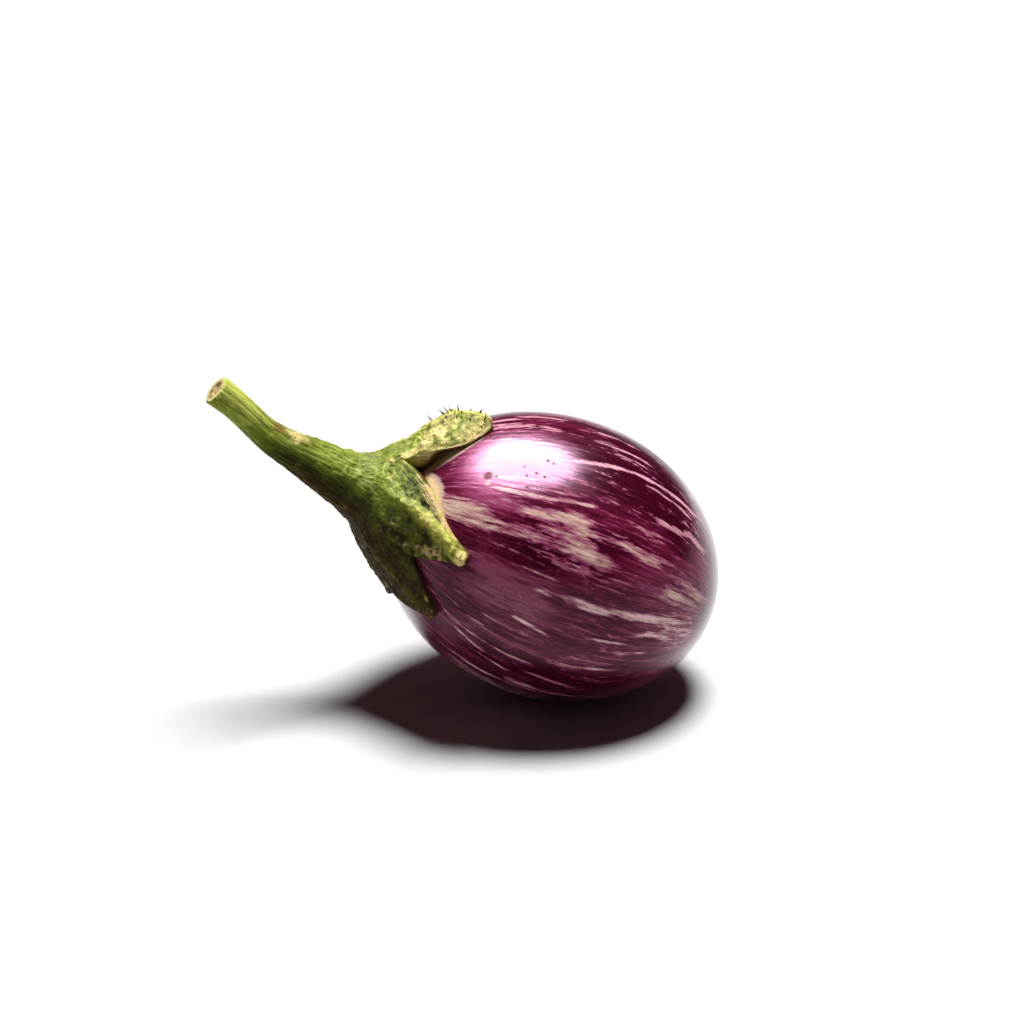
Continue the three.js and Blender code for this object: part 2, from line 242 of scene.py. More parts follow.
fruit_low, fruit_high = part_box("fruit")
STEM_POLE = Vector((
    fruit_high.x - reach_of_fruit(UP_STEM.x) * MM,
    (fruit_low.y + fruit_high.y) / 2,
    fruit_high.z - reach_of_fruit(UP_STEM.z) * MM,
))
FRUIT_CENTRE = STEM_POLE - UP_STEM * HALF_LENGTH * MM


def to_row(local):
    """A point round the fruit's axis, in millimetres, as a place in the part's frame."""
    return STEM_POLE + (SIDE * local.x + UP_STEM * local.y + UNDER * local.z) * MM


def lobe_column(column, columns_per_lobe):
    """Where one column of the calyx starts at the neck and ends at the edge of its lobe."""
    number = int(column // columns_per_lobe) % len(LOBES)
    lobe = LOBES[number]
    before, after = NOTCHES[number], NOTCHES[(number + 1) % len(NOTCHES)]
    after_angle = after[0] + 360 * (after[0] < before[0])
    across = -1 + 2 * (column % columns_per_lobe) / columns_per_lobe
    late = across >= 0
    notch_angle, notch = (after_angle, after[1]) if late else before
    taper = lobe.taper[late]
    climb = pi / 2 * (1 - abs(across))
    edge = notch + (lobe.reach - notch) * sin(climb) ** taper
    from_tip = max(0, lobe.reach - edge) / BULB_LENGTH
    bulb = lobe.bulb * sqrt(from_tip) * exp(0.5 - 0.5 * from_tip)
    swell = lobe.swell[late] * sin(pi * (edge - notch) / (lobe.reach - notch))
    side = (across > 0) - (across < 0)
    edge_angle = lobe.tip + (notch_angle - lobe.tip) * cos(climb) ** taper + side * (bulb + swell)
    return Record(
        lobe=lobe, number=number, across=across, late=late, notch=notch, taper=taper, edge=edge,
        edge_angle=edge_angle, root_angle=lerp(before[0], after_angle, (across + 1) / 2))


RIB_ANGLES = [lobe_column(number + 0.5, 1).root_angle for number in range(len(LOBES))]


def ribs(angle):
    """Ridges that run from the lobes up onto the stem."""
    height = 0
    for middle in RIB_ANGLES:
        height += exp(-((off_from(angle, middle) / RIB_WIDTH) ** 2))
    return RIB_HEIGHT * height


def lift_of(column, colatitude):
    """How far a lobe stands off the skin."""
    lobe = column.lobe
    way = clamp((colatitude - LIFT_START) / (lobe.reach - LIFT_START))
    rise = clamp((colatitude - column.notch) / (lobe.reach - column.notch))
    half_width = 1 - asin(rise ** (1 / column.taper)) / (pi / 2)
    outward = clamp(abs(column.across) / max(half_width, 0.03))
    hug = lobe.hug[column.late]
    arch = lobe.lift * max(0, sin(pi * way ** lobe.peak)) ** ARCH_ROUNDNESS
    arch *= 1 - column.across ** 4
    curl = lobe.curl * smooth(CURL_FROM, 1, way)
    curl *= smooth(lobe.reach - CURL_SPAN, lobe.reach, column.edge)
    return (arch + curl) * (1 - hug * outward ** 2 * smooth(*HUG_RANGE, way))


def stem_radius(beyond):
    flare = max(0, (FLARE_END - beyond) / (FLARE_END - FLARE_START)) ** FLARE_FALL
    widening = CUT_FLARE * smooth(STEM_END - CUT_FLARE_LENGTH, STEM_END, beyond)
    return STEM_RADIUS + STEM_FLARE * flare + widening


def cap_rise(angle):
    """The cap is flatter on the underside of the fruit."""
    return CAP_RISE - CAP_DROP * (0.5 + 0.5 * cos(radians(angle - CAP_DROP_AT)))


# ---- Relief of the green flesh ----

# Each kind: how often it repeats in a millimetre, round and along the flesh, where its noise
# starts, its height, and the floor that only warts and pits have: noise under it is flat.
WRINKLES = (0.5, 0.07, 0, 0.3, None)
FIBRES = (1.25, 0.14, 7, 0.24, None)
WARTS = (0.7, 0.5, 31, 0.5, 0.05)
PITS = (1.5, 1.1, 57, 0.35, 0.12)
ROOT_ROUGHNESS = 0.6
FULL_ROUGHNESS = 1.4


def relief_of(kind, ring, along):
    round_rate, along_rate, start, height, floor = kind
    value = noise.noise(Vector((ring.x * round_rate, ring.y * round_rate, along * along_rate + start)))
    return height * (value if floor is None else max(0, value - floor))


def flesh_relief(angle, along, radius, roughness):
    """Height of the lengthwise wrinkles and warts, in millimetres, the same on calyx and stem."""
    turn = radians(angle)
    ring = Vector((sin(turn), cos(turn), 0)) * radius
    lumps = relief_of(WARTS, ring, along) - relief_of(PITS, ring, along)
    return relief_of(WRINKLES, ring, along) + relief_of(FIBRES, ring, along) + roughness * lumps


def lobe_roughness(column, way):
    """How warty the calyx is: most on the two lobes that catch the light."""
    return lerp(ROOT_ROUGHNESS, FULL_ROUGHNESS * column.lobe.warts, smooth(0.2, 0.6, way))


def lobe_angle(column, way):
    return column.root_angle + (column.edge_angle - column.root_angle) * way ** ROW_TURN


def upper_face(column, way):
    """A point on the upper face of the calyx; way runs from 0 at the neck to 1 at the edge."""
    colatitude = NECK_ANGLE + (column.edge - NECK_ANGLE) * way ** ROW_SPACING
    angle = lobe_angle(column, way)
    spread = max(0, 1 - (colatitude - NECK_ANGLE) / CAP_SPREAD)
    neck = max(0, 1 - (colatitude - NECK_ANGLE) / NECK_SPAN) ** 2
    neck_extra = NECK_HEIGHT - SEAT_GAP - RIM_THICKNESS - cap_rise(angle)
    across = column.across
    thickness = RIM_THICKNESS + MIDRIB_THICKNESS * (1 - across ** 2) * smooth(0, 0.3, way)
    if column.number == LIFTED_LOBE:
        thickness *= 1 - THIN_EDGE * smooth(THIN_FROM, 1, way)
    height = (SEAT_GAP + lift_of(column, colatitude) + thickness
              + cap_rise(angle) * spread ** CAP_FALL + neck_extra * neck)
    radius, beyond, out_radius, out_beyond = over_skin(radians(colatitude), height)
    lobe = column.lobe
    off_keel = across * lerp(ROOT_HALF_WIDTH, TIP_HALF_WIDTH, way)
    keel_share = smooth(*KEEL_RANGE, way) * exp(-((off_keel / KEEL_WIDTH) ** 2))
    off_knob = ((way - KNOB_AT) / KNOB_LENGTH) ** 2 + (off_keel / KNOB_WIDTH) ** 2
    rib = ribs(angle) * (1 - smooth(*RIB_FADE, way))
    relief = flesh_relief(angle, beyond, max(radius, NECK_RADIUS), lobe_roughness(column, way))
    relief *= 1 - EDGE_CALM * smooth(0.95, 1, way)
    square = smooth(*SQUARE_RANGE, colatitude)
    rise = lobe.keel * keel_share + lobe.knob * exp(-off_knob) + rib + relief
    return Record(radius=radius + rise * lerp(1, out_radius, square),
                  beyond=beyond + rise * lerp(0, out_beyond, square),
                  angle=angle, along=beyond, keel=keel_share * min(1, lobe.keel))


def lower_face(column, way):
    """A point on the face over the fruit; way runs from 1 at the edge to 0 on the axis."""
    colatitude = column.edge * way
    height = SEAT_LINE + lift_of(column, colatitude)
    if column.number == LIFTED_LOBE and column.across < 0:
        height -= SEAT_PRESS * smooth(THIN_FROM, 1, way)
    radius, beyond, _, _ = over_skin(radians(max(colatitude, 0.01)), height)
    return Record(radius=0 if way == 0 else radius, beyond=beyond, along=beyond, keel=0,
                  angle=lobe_angle(column, way))


def rim_face(column, turn):
    """A point round the edge of a lobe; turn runs from 0 on the upper face to 1 on the lower."""
    upper = upper_face(column, 1)
    lower = lower_face(column, 1)
    farther = outline(radians(column.edge + RIM_BULGE))
    nearer = outline(radians(column.edge))
    bulge = sin(pi * turn)
    share = (1 - cos(pi * turn)) / 2
    upper.radius = lerp(upper.radius, lower.radius, share) + (farther[0] - nearer[0]) * bulge
    upper.beyond = lerp(upper.beyond, lower.beyond, share) + (farther[1] - nearer[1]) * bulge
    return upper


# ---- Building meshes ----

def add_object(name, data, turn=None, place=(0, 0, 0)):
    """Links a new object into the scene."""
    made = bpy.data.objects.new(name, data)
    if turn:
        made.rotation_mode = "QUATERNION"
        made.rotation_quaternion = turn
        made.location = place
    scene.collection.objects.link(made)
    return made


def mesh_object(name, bm, material):
    mesh = bpy.data.meshes.new(name)
    bm.to_mesh(mesh)
    bm.free()
    mesh.materials.append(material)
    return add_object(name, mesh)


def finished(name, bm, material, slot, *nodes):
    """Turns a bmesh into a piece that rides on the part and stands for its nodes."""
    bmesh.ops.recalc_face_normals(bm, faces=bm.faces)
    piece = mesh_object(name, bm, material)
    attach(piece, "root")
    if nodes:
        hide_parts(*nodes)


def sheet_of(columns, rows):
    """A flat grid to be rolled up: x counts columns round the axis and y counts rows along it."""
    bm = bmesh.new()
    bmesh.ops.create_grid(bm, x_segments=columns, y_segments=rows, size=1)
    for vertex in bm.verts:
        vertex.co.x = round((vertex.co.x + 1) / 2 * columns)
        vertex.co.y = round((vertex.co.y + 1) / 2 * rows)
    return bm


def close_up(bm):
    """Welds the seam and the poles of a rolled-up grid."""
    bmesh.ops.remove_doubles(bm, verts=bm.verts, dist=1e-7)
    for face in bm.faces:
        face.smooth = True


def mask_layers(bm, *names):
    layers = {name: bm.verts.layers.float.new(name) for name in names}
    layers["grain"] = bm.verts.layers.float_vector.new("grain")
    return layers


def settle(vertex, layers, masks, along, place):
    """Moves a vertex to its radius, distance and turn, and gives it its grain and masks."""
    turn = place[2]
    vertex[layers["grain"]] = (cos(turn), sin(turn), along / GRAIN_STRETCH)
    for name, value in masks.items():
        vertex[layers[name]] = value
    vertex.co = to_row(bent(*place))


# ---- Shader building blocks ----

class Nodes:
    """Adds and links the nodes of one tree."""

    def __init__(self, tree):
        self.tree = tree

    def add(self, kind, inputs=None, **settings):
        node = self.tree.nodes.new("ShaderNode" + kind)
        for key, value in settings.items():
            setattr(node, key, value)
        for key, value in (inputs or {}).items():
            self.feed(node.inputs[key], value)
        return node

    def feed(self, socket, value):
        if isinstance(value, bpy.types.NodeSocket):
            self.tree.links.new(value, socket)
        else:
            socket.default_value = value

    def math(self, operation, a, b):
        return self.add("Math", {0: a, 1: b}, operation=operation).outputs[0]

    def times(self, a, b):
        return self.math("MULTIPLY", a, b)

    def vector(self, operation, a, b):
        return self.add("VectorMath", {0: a, 1: b}, operation=operation).outputs[0]

    def noise(self, vector, scale, detail=2, roughness=0.6, output="Fac"):
        return self.add("TexNoise", {
            "Vector": vector, "Scale": scale, "Detail": detail, "Roughness": roughness,
        }).outputs[output]

    def centred(self, value):
        return self.math("SUBTRACT", value, 0.5)

    def total(self, *terms):
        """The sum of several values, each with its gain."""
        out = None
        for value, gain in terms:
            scaled = value if gain == 1 else self.times(value, gain)
            out = scaled if out is None else self.math("ADD", out, scaled)
        return out

    def shares(self, masks, table):
        """The sum of the masks that a table names, each with its gain."""
        return self.total(*((masks[name], gain) for name, gain in table.items()))

    def ranged(self, value, low, high, to_low=0, to_high=1, kind="SMOOTHSTEP"):
        return self.add("MapRange", {
            "Value": value, "From Min": low, "From Max": high, "To Min": to_low, "To Max": to_high,
        }, interpolation_type=kind).outputs["Result"]

    def ramp(self, value, stops):
        node = self.add("ValToRGB", {"Fac": value})
        elements = node.color_ramp.elements
        elements[0].position, elements[0].color = stops[0][0], (*stops[0][1], 1)
        elements[1].position, elements[1].color = stops[-1][0], (*stops[-1][1], 1)
        for position, colour in stops[1:-1]:
            elements.new(position).color = (*colour, 1)
        return node.outputs["Color"]

    def mix(self, factor, *colours):
        node = self.add("Mix", {"Factor": factor}, data_type="RGBA")
        for key, colour in zip((6, 7), colours):
            is_socket = isinstance(colour, bpy.types.NodeSocket)
            self.feed(node.inputs[key], colour if is_socket else (*colour, 1))
        return node.outputs[2]

    def blend(self, colour, *layers):
        """Lays more colours over one, each where its mask says."""
        for mask, over in layers:
            colour = self.mix(mask, colour, over)
        return colour

    def attribute(self, name, output="Fac"):
        return self.add("Attribute", attribute_name=name).outputs[output]

    def place(self):
        return self.add("TexCoord").outputs["Object"]

    def near(self, spot, radius, softness):
        """1 within a radius of a spot on the skin, falling to 0 over the softness."""
        gap = self.add("VectorMath", {0: self.place(), 1: skin_point(*spot)},
                       operation="DISTANCE").outputs["Value"]
        return self.ranged(gap, radius * MM, (radius + softness) * MM, 1, 0)

    def surface(self, shader, colour, roughness, height, strength, depth):
        """Gives a shader its colour, its roughness and a bump of the depth given in millimetres."""
        bump = self.add("Bump", {"Height": height, "Strength": strength, "Distance": depth * MM})
        self.feed(shader.inputs["Base Color"], colour)
        self.feed(shader.inputs["Roughness"], roughness)
        self.feed(shader.inputs["Normal"], bump.outputs["Normal"])


def new_material(name, **constants):
    material = bpy.data.materials.new(name)
    material.use_nodes = True
    tree = material.node_tree
    tree.nodes.clear()
    nodes = Nodes(tree)
    shader = nodes.add("BsdfPrincipled", {
        key.replace("_", " "): value for key, value in constants.items()
    })
    output = nodes.add("OutputMaterial")
    tree.links.new(shader.outputs["BSDF"], output.inputs["Surface"])
    return material, nodes, shader


# ---- Fruit ----

# Pale streaks: the angle and colatitude where each starts, those where it ends, its half width
# in millimetres and its strength. A broad one breaks up into fibres.
STREAKS = [
    (121, 26, 117.5, 60, 2.5, 1.2), (119, 36, 119, 54, 1.6, 0.8), (119, 54, 118, 76, 1.5, 0.75),
    (126, 62, 131, 90, 1.9, 0.88), (123, 68, 124, 98, 2.4, 0.74), (119, 78, 116, 102, 1.9, 0.76),
    (114.5, 68, 112.5, 98, 2, 0.5), (128, 93, 125, 120, 1.4, 0.85), (98.5, 76, 99, 97, 0.9, 0.75),
    (98, 90, 102, 131, 1, 1.3), (143, 108, 145, 125, 0.8, 0.9), (147, 120, 147, 139, 0.7, 0.9),
    (113, 120, 114, 132, 1.1, 0.8), (94.5, 118, 92.5, 134, 0.8, 0.95), (176, 40, 175, 78, 1.4, 0.5),
    (72, 84, 76, 128, 4, 0.3), (90, 98, 90, 122, 2.6, 0.3), (136, 98, 136, 116, 2, 0.3),
    (114, 116, 112, 148, 5.5, 0.6), (96, 124, 90, 148, 3.5, 0.5),
    (155, 76, 160, 98, 0.5, 1.3), (160, 95, 163, 129, 0.45, 1.25), (157, 100, 158, 128, 0.35, 0.8),
    (134, 50, 134.5, 76, 0.6, 1.1), (134.5, 70, 138, 92, 0.5, 1), (129.5, 54, 131, 70, 0.35, 0.6),
    (137, 56, 139, 84, 0.4, 0.8), (140, 44, 142, 70, 0.4, 0.7), (84.5, 71, 82, 90, 0.45, 0.85),
    (71, 46, 63, 62, 0.4, 0.75), (63, 59, 58, 75, 0.4, 0.75), (66.5, 50, 65, 74, 0.4, 0.75),
    (65, 70, 65.5, 94, 0.4, 0.75), (75, 50, 72, 72, 0.4, 0.7), (60, 58, 54, 86, 0.45, 0.8),
    (79, 60, 77, 84, 0.35, 0.6), (48, 82, 49.5, 95, 1, 0.9), (70, 92, 72, 116, 0.45, 0.8),
    (60, 84, 56, 112, 0.5, 0.8), (184, 43, 184, 60, 0.5, 1), (187, 56, 185, 77, 0.5, 1),
    (180, 84, 179, 100, 0.4, 0.7), (171, 82, 172, 104, 0.4, 0.7), (167, 92, 169, 112, 0.35, 0.6),
    (110, 56, 109, 80, 0.35, 0.6), (105, 62, 104, 90, 0.35, 0.6), (108, 96, 110, 122, 0.4, 0.6),
    (86, 100, 88, 120, 0.45, 0.7), (91, 114, 95, 130, 0.5, 0.9), (82, 104, 83, 128, 0.45, 0.7),
]
# Soft areas where the skin between the streaks is pinker, and others where it is darker. The pinker one
# low on the right, from angle 114, is partly painted reflection of pink light; the darker ones at angles
# 36 to 60 are painted shade towards the bottom.
FLUSHES = [
    (147, 34, 128, 66, 8, 1.1), (114, 106, 110, 150, 9, 1.1), (118, 98, 122, 128, 6, 0.45),
    (95, 52, 93, 88, 6, 1.3),
]
SHADES = [
    (152, 70, 153, 132, 8.5, 0.75), (174, 72, 184, 124, 8, 0.7), (109, 56, 110, 84, 2.6, 0.8),
    (79, 48, 76, 66, 2.6, 0.6), (141, 116, 141, 130, 3.2, 0.8), (52, 84, 60, 126, 7, 1),
    (36, 60, 42, 134, 11, 1), (58, 62, 60, 92, 5, 0.6),
]
# How a streak fades: at its start and end, by its length, and aside, by its half width.
STREAK_START = (-0.1, 0.3)
STREAK_END = (0.7, 1.1)
STREAK_SIDE = (0.2, 2)
HIDDEN_STREAKS = 70
HIDDEN_FROM = 196  # angle where the unseen side starts
HIDDEN_SPAN = 214
HIDDEN_STARTS = (34, 100)
HIDDEN_END = 148
HIDDEN_LEAN = 5
HIDDEN_STRENGTHS = (0.6, 0.95)
BROAD_EVERY = 5  # one in so many of them is broad
BROAD_LENGTHS = (26, 52)
BROAD_WIDTHS = (1.8, 4.2)
THIN_LENGTHS = (18, 60)
THIN_WIDTHS = (0.4, 0.9)


def hidden_streaks():
    """More streaks of the same kinds, strewn over the rest of the fruit."""
    draw = random.Random(5)
    strewn = []
    for number in range(HIDDEN_STREAKS):
        angle = HIDDEN_FROM + HIDDEN_SPAN * (number + draw.random()) / HIDDEN_STREAKS
        start = draw.uniform(*HIDDEN_STARTS)
        broad = number % BROAD_EVERY == 0
        length = draw.uniform(*(BROAD_LENGTHS if broad else THIN_LENGTHS))
        end_angle = angle + draw.uniform(-HIDDEN_LEAN, HIDDEN_LEAN)
        half_width = draw.uniform(*(BROAD_WIDTHS if broad else THIN_WIDTHS))
        strewn.append((angle, start, end_angle, min(start + length, HIDDEN_END), half_width,
                       draw.uniform(*HIDDEN_STRENGTHS)))
    return strewn


def streak_mask(streaks, angle, colatitude, radius):
    """How strongly the placed streaks lighten the skin at a point."""
    dark = 1
    for start_angle, start, end_angle, end, half_width, strength in streaks:
        way = (colatitude - start) / (end - start)
        if not STREAK_START[0] < way < STREAK_END[1]:
            continue
        off = off_from(angle, lerp(start_angle, end_angle, way))
        gap = abs(radians(off)) * radius / half_width
        if gap < STREAK_SIDE[1]:
            ends = smooth(*STREAK_START, way) * (1 - smooth(*STREAK_END, way))
            dark *= 1 - strength * ends * (1 - smooth(*STREAK_SIDE, gap))
    return 1 - dark


def calyx_edge():
    """The line on the skin under the edge of the calyx, as points to measure from."""
    columns = len(LOBES) * LOBE_COLUMNS
    line = kdtree.KDTree(columns)
    reaches = []
    for number in range(columns):
        column = lobe_column(number, LOBE_COLUMNS)
        turn = radians(column.edge_angle)
        line.insert(straight(*outline(radians(column.edge)), turn), number)
        reaches.append((column.edge_angle % 360, column.edge))
    line.balance()
    reaches.sort()
    (first, first_reach), (last, last_reach) = reaches[0], reaches[-1]
    return line, [(last - 360, last_reach), *reaches, (first + 360, first_reach)]


def edge_reach(reaches, angle):
    """Colatitude of the calyx's edge at an angle from 0 to 360."""
    number = bisect_left(reaches, (angle,))
    (before, previous), (after, reach) = reaches[number - 1:number + 1]
    return lerp(previous, reach, (angle - before) / max(after - before, 1e-6))


# The pale collar of skin beside the calyx, widest between the front and the top lobe.
COLLAR_WIDTH = 0.1
COLLAR_EXTRA = 4.6
COLLAR_ANGLE = 137
COLLAR_SPREAD = 18
COLLAR_SPREAD_ABOVE = 23
COLLAR_WAVES = (0.35, 0.16)  # how much its width wavers, and how often in a millimetre


def collar_mask(angle, gap, point):
    off = off_from(angle, COLLAR_ANGLE)
    spread = COLLAR_SPREAD_ABOVE if off > 0 else COLLAR_SPREAD
    width = COLLAR_WIDTH + COLLAR_EXTRA * exp(-((off / spread) ** 2))
    share = smooth(0.3, 1, width)
    width *= 1 + COLLAR_WAVES[0] * noise.noise(point * COLLAR_WAVES[1])
    return share * (1 - smooth(0, 1, gap / width))


def soft_floor(height):
    """A height kept above the resting plane, with the edge of the flat rounded off."""
    blend = BELLY_BLEND * MM
    if height >= blend:
        return height
    if height <= -blend:
        return 0
    return (height + blend) ** 2 / (4 * blend)


def make_fruit(material):
    bm = bmesh.new()
    bmesh.ops.create_uvsphere(bm, u_segments=FRUIT_COLUMNS, v_segments=FRUIT_RINGS, radius=1)
    stripe = bm.verts.layers.float_vector.new("stripe")
    pale, tint, collar = (bm.verts.layers.float.new(name) for name in ("pale", "tint", "collar"))
    streaks = STREAKS + hidden_streaks()
    line, reaches = calyx_edge()
    for vertex in bm.verts:
        colatitude = acos(clamp(vertex.co.z, -1, 1))
        turn = atan2(vertex.co.x, vertex.co.y)
        angle = degrees(turn) % 360
        radius, beyond = outline(colatitude)
        if beyond < -HALF_LENGTH:
            beyond += DIMPLE_DEPTH * exp(-((radius / DIMPLE_RADIUS) ** 2))
            beyond -= BUTTON_HEIGHT * exp(-((radius / BUTTON_RADIUS) ** 4))
        local = straight(radius, beyond, turn)
        reach = degrees(colatitude)
        vertex[stripe] = (cos(turn), sin(turn), reach / STRIPE_STRETCH)
        vertex[pale] = streak_mask(streaks, angle, reach, radius)
        vertex[tint] = (streak_mask(FLUSHES, angle, reach, radius)
                        - streak_mask(SHADES, angle, reach, radius))
        gap = line.find(local)[2] if reach > edge_reach(reaches, angle) else 0
        vertex[collar] = collar_mask(angle, gap, local)
        vertex.co = to_row(local)
        vertex.co.z = soft_floor(vertex.co.z)
    for face in bm.faces:
        face.smooth = True
    finished("fruit_skin", bm, material, "fruit_skin", "fruit")


# Skin colours, darkest first, then the pale ones of the streaks.
DEEP_PLUM = (0.032, 0.001, 0.0075)
PLUM = (0.068, 0.003, 0.018)
DARK_MAUVE = (0.065, 0.006, 0.02)
MAUVE = (0.1, 0.013, 0.041)
MAROON = (0.125, 0.009, 0.036)
MAGENTA = (0.24, 0.035, 0.1)
ROSE = (0.2, 0.045, 0.088)
PINK = (0.29, 0.1, 0.14)
CREAM = (0.45, 0.26, 0.235)
BEIGE = (0.6, 0.43, 0.35)
PALE_PINK = (0.55, 0.27, 0.33)
ROSE_WHITE = (0.92, 0.6, 0.66)
COLLAR_CREAM = (0.7, 0.54, 0.27)
COLLAR_PINK = (0.5, 0.33, 0.28)
CORK = (0.2, 0.11, 0.05)
SCAR_BROWN = (0.07, 0.015, 0.012)

# Small corky specks: angle, colatitude and radius in millimetres.
SPECKS = [
    (137.5, 64.5, 0.25), (145, 66.5, 0.2), (152.5, 69.5, 0.22), (144, 69.5, 0.15),
    (151.5, 71.5, 0.15), (143, 63.5, 0.12), (147.5, 62, 0.1), (140.5, 53, 0.2),
]
BLEMISH = (140.5, 50)
BLEMISH_SPOT = (136.5, 50.5)  # a pale spot beside it
BLOSSOM_SCAR = (0, 180)
# Radius and softness of each, in millimetres.
BLEMISH_SIZE = (0.6, 1.4)
BLEMISH_SPOT_SIZE = (0.2, 0.9)
SCAR_SIZE = (1.2, 1.6)
SPECK_SOFTNESS = 0.5

# Colours along a ramp, and tables that say how much of each mask goes into a look.
UPPER_SKIN = [(0, DEEP_PLUM), (0.35, PLUM), (0.7, MAROON), (1, MAGENTA)]
# The lower ramp is the lower half's mauve, darkened in part as painted shade.
SHADED_LOWER_SKIN = [(0, DEEP_PLUM), (0.28, DARK_MAUVE), (0.52, MAUVE), (0.78, ROSE), (1, PINK)]
STREAK_SKIN = [(0, MAROON), (0.18, MAGENTA), (0.36, PINK), (0.6, CREAM), (0.9, BEIGE)]
LINES = dict(cloud=1, patches=0.7, dashes=1.3, flecks=0.5, fibres=1, under=0.1, tint=0.42)
SCATTER = dict(flecks=2.2, patches=1.2, dashes=0.9, tint=0.05)
RAGGED = dict(pale=1, patches=1.9, dashes=1.6, flecks=1.2, fibres=1.4, tint=0.1)
THREADS = dict(thread=1, fibres=0.8)
COLLAR_EDGE = dict(collar=1, dashes=0.3, flecks=0.2)
SHINE = dict(dashes=1, patches=1)
SKIN_RELIEF = dict(dashes=0.6, patches=0.6, grain=0.04)
SKIN_SWAY = (0.07, 0.07, 0)  # how far the fibres waver
SHORTER = (1, 1, 2.3)  # patches and flecks are shorter than the fibres


def skin_point(angle, colatitude):
    """A place on the skin, in the part's frame."""
    return to_row(straight(*outline(radians(colatitude)), radians(angle)))


def skin_masks(nodes):
    """The attributes and noises that the looks of the skin are made of."""
    masks = {name: nodes.attribute(name) for name in ("pale", "collar", "tint")}
    stripe = nodes.attribute("stripe", "Vector")
    sway = nodes.vector("MULTIPLY", nodes.noise(stripe, 4.5, 2, 0.5, "Color"), SKIN_SWAY)
    stripe = nodes.vector("ADD", stripe, sway)
    short = nodes.vector("MULTIPLY", stripe, SHORTER)
    for name, vector, scale, detail, roughness in (
            ("cloud", short, 5, 2, 0.5), ("patches", short, 15, 4, 0.65),
            ("flecks", short, 62, 2, 0.6), ("dashes", stripe, 27, 3, 0.6),
            ("fibres", stripe, 64, 3, 0.6), ("thread", stripe, 120, 2, 0.6)):
        masks[name] = nodes.centred(nodes.noise(vector, scale, detail, roughness))
    masks["grain"] = nodes.noise(nodes.place(), 1100)
    masks["side"], _, masks["way"] = nodes.add("SeparateXYZ", {0: stripe}).outputs
    masks["under"] = nodes.ranged(masks["side"], -0.5, 0.3)
    return masks


def skin_between(nodes, masks):
    """The skin between the streaks: dark above with scattered flecks, mauve and lined below, darkened
    there in part as painted shade.
    """
    shade = nodes.ranged(nodes.shares(masks, LINES), -0.35, 0.55, kind="LINEAR")
    scatter = nodes.ranged(nodes.shares(masks, SCATTER), 0.23, 0.56, 0, 0.85)
    lower = nodes.ramp(shade, SHADED_LOWER_SKIN)
    return nodes.blend(nodes.ramp(shade, UPPER_SKIN), (nodes.times(masks["under"], 0.9), lower),
                       (scatter, MAGENTA))


def skin_streaks(nodes, masks, skin):
    """Lays on the streaks, broken up into patches and fibres, and the collar by the calyx."""
    side = masks["side"]
    patch = nodes.ranged(nodes.shares(masks, RAGGED), 0.32, 1.4, kind="LINEAR")
    threads = nodes.ranged(nodes.shares(masks, THREADS), 0.02, 0.2, 0, 0.58)
    low = nodes.times(nodes.ranged(side, -0.42, -0.14, 0, 0.85), nodes.ranged(patch, 0.35, 1))
    # painted shade: the rose white of the lower streaks is halved towards the bottom
    low = nodes.times(low, nodes.ranged(side, 0.1, 0.45, 1, 0.5))
    # painted light: the streaks on top turn pale pink where the top faces the lamps, in part their own
    # pink
    top = nodes.ranged(side, -0.7, -0.88, 0, 0.7)
    marks = nodes.blend(nodes.ramp(patch, STREAK_SKIN), (threads, ROSE), (top, PALE_PINK),
                        (low, ROSE_WHITE))
    edge = nodes.shares(masks, COLLAR_EDGE)
    return nodes.blend(skin, (nodes.ranged(patch, 0, 0.2), marks),
                       (nodes.ranged(edge, 0.2, 0.5), COLLAR_PINK),
                       (nodes.ranged(edge, 0.5, 0.9), COLLAR_CREAM))


def skin_blemishes(nodes, masks, skin):
    """Lays on the blemish, the specks and the scar, and says where they make the skin dull."""
    grain = masks["grain"]
    dull = nodes.times(nodes.near(BLEMISH, *BLEMISH_SIZE), nodes.ranged(grain, 0.22, 0.42))
    spot = nodes.near(BLEMISH_SPOT, *BLEMISH_SPOT_SIZE)
    skin = nodes.blend(skin, (nodes.times(dull, 0.85), SCAR_BROWN),
                       (nodes.times(spot, 0.75), COLLAR_PINK))
    for angle, reach, radius in SPECKS:
        speck = nodes.near((angle, reach), radius, SPECK_SOFTNESS)
        skin = nodes.mix(nodes.times(speck, 0.9), skin, SCAR_BROWN)
        dull = nodes.math("MAXIMUM", dull, speck)
    scar = nodes.times(
        nodes.near(BLOSSOM_SCAR, *SCAR_SIZE), nodes.ranged(grain, 0.2, 0.6, 0.5, 1))
    return nodes.mix(scar, skin, CORK), dull


def fruit_material():
    material, nodes, shader = new_material(
        "fruit_skin", IOR=1.45, Specular_IOR_Level=0.2, Specular_Tint=(1, 0.68, 0.92, 1),
        Coat_IOR=1.5, Coat_Roughness=0.2)
    masks = skin_masks(nodes)
    skin = skin_streaks(nodes, masks, skin_between(nodes, masks))
    skin, dull = skin_blemishes(nodes, masks, skin)
    rough = nodes.ranged(nodes.shares(masks, SHINE), -0.25, 0.25, 0.15, 0.25)
    rough = nodes.math("MAXIMUM", rough, nodes.times(dull, 0.8))
    # The coat shines where the skin turns away, less so on top until near the blossom end.
    facing = nodes.add("LayerWeight", {"Blend": 0.5}).outputs["Facing"]
    above = nodes.times(nodes.ranged(masks["side"], 0, -0.6),
                        nodes.ranged(masks["way"], 0.2, 0.26, 1, 0))
    grazing = nodes.total((facing, 1), (above, -0.5))
    nodes.feed(shader.inputs["Coat Weight"], nodes.ranged(grazing, 0.42, 0.78))
    nodes.surface(shader, skin, rough, nodes.shares(masks, SKIN_RELIEF), 0.3, 0.4)
    return material
